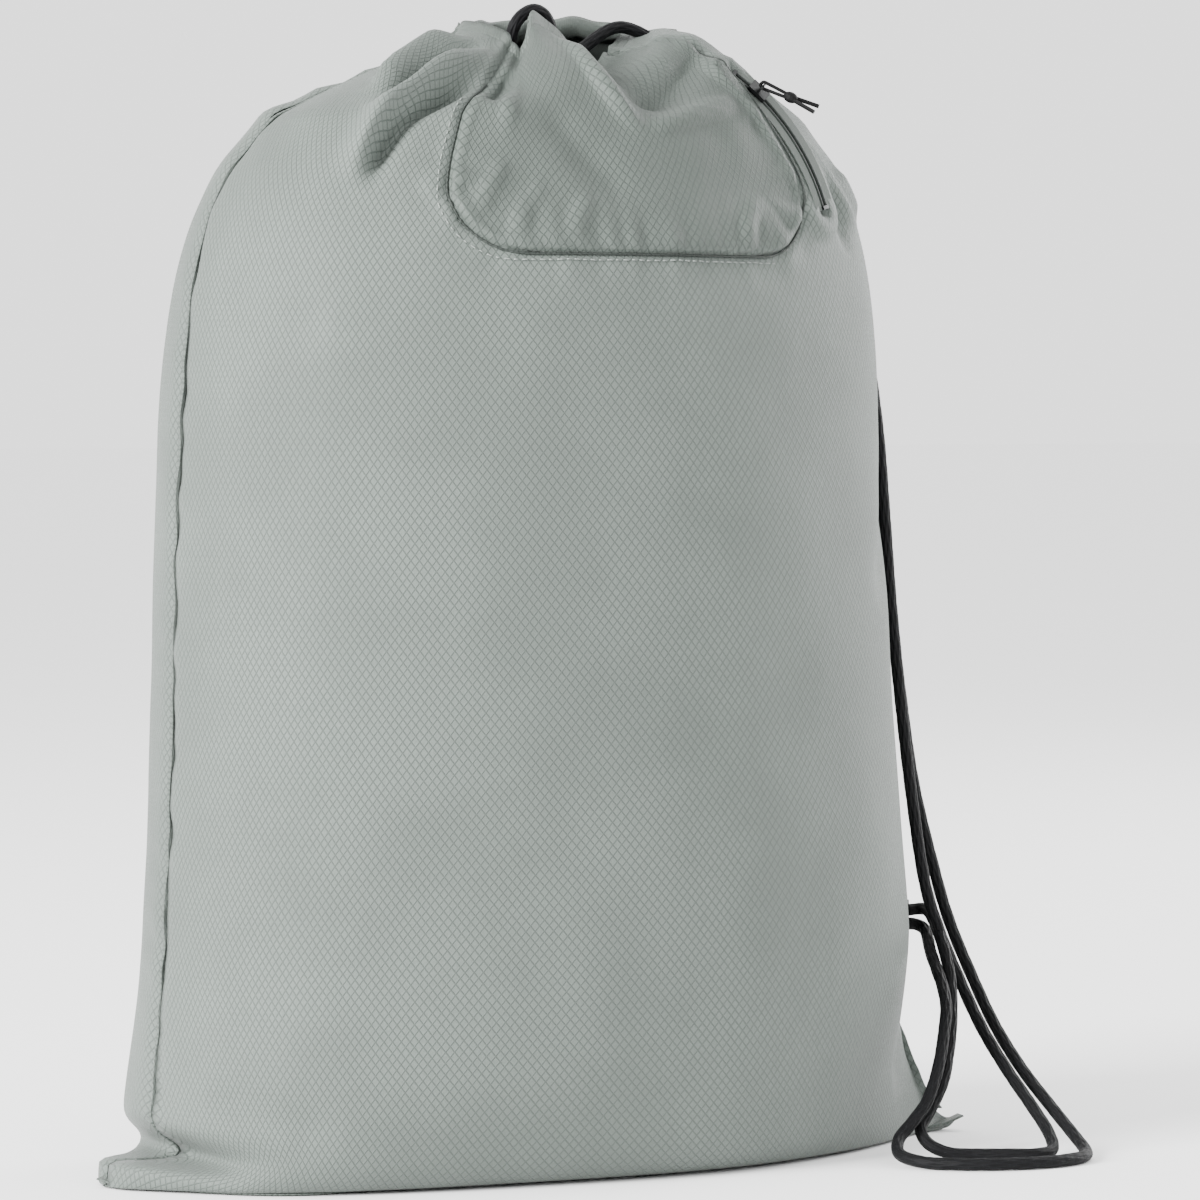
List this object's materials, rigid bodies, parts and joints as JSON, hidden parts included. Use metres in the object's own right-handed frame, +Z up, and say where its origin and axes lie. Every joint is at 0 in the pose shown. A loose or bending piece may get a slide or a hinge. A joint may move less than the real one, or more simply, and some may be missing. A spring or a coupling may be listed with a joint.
{
  "type": "drawcord laundry bag",
  "caption": "Filled standing ripstop laundry bag: gathered drawcord mouth, zipped stow pocket on the front, and the doubled drawcord hanging down its side as a strap.",
  "frame": {"origin": "centre of the base, on the surface that the bag stands on", "axes": "+Z up, the front with the stow pocket faces -Y, +X is towards the strap side"},
  "size_m": [0.414, 0.2454, 0.4922],
  "materials": {
    "ripstop": "light grey-green coated ripstop nylon with a fine diamond grid and a soft sheen",
    "webbing": "grey-green woven webbing",
    "cord": "black braided round cord with grey flecks",
    "pull_cord": "thin black cord, knotted",
    "zip_tape": "grey-green woven zip tape",
    "zip_coil": "dark nylon coil",
    "slider_metal": "black painted die-cast metal"
  },
  "bodies": {
    "bag": {"front_panel": "ripstop", "back_panel": "ripstop", "stow_pocket": "ripstop", "front_channel": "ripstop", "back_channel": "ripstop", "side_seam_left": "ripstop", "side_seam_right": "ripstop", "bottom_seam": "ripstop", "cord_tab_right": "webbing", "drawcord": "cord", "strap_cord_outer": "cord", "strap_cord_inner": "cord", "zip_tape_pocket_side": "zip_tape", "zip_tape_panel_side": "zip_tape", "zip_coil_pocket_side": "zip_coil", "zip_coil_panel_side": "zip_coil", "zip_top_stop": "zip_coil", "zip_bottom_stop": "zip_coil"},
    "slider": {"zip_slider": "slider_metal"},
    "pull": {"zip_pull": "pull_cord"}
  },
  "joints": [
    {"name": "zip_travel", "type": "hinge", "parent": "bag", "child": "slider", "pos_m": [0.00724, -0.01502, 0.37929], "axis": [0.474, 0.88, 0.0296], "range_deg": [0, 26.6]},
    {"name": "pull_swing", "type": "hinge", "parent": "slider", "child": "pull", "pos_m": [0.07249, -0.05883, 0.46061], "axis": [0.7169, 0.5703, 0.401], "range_deg": [-100, 20]}
  ]
}
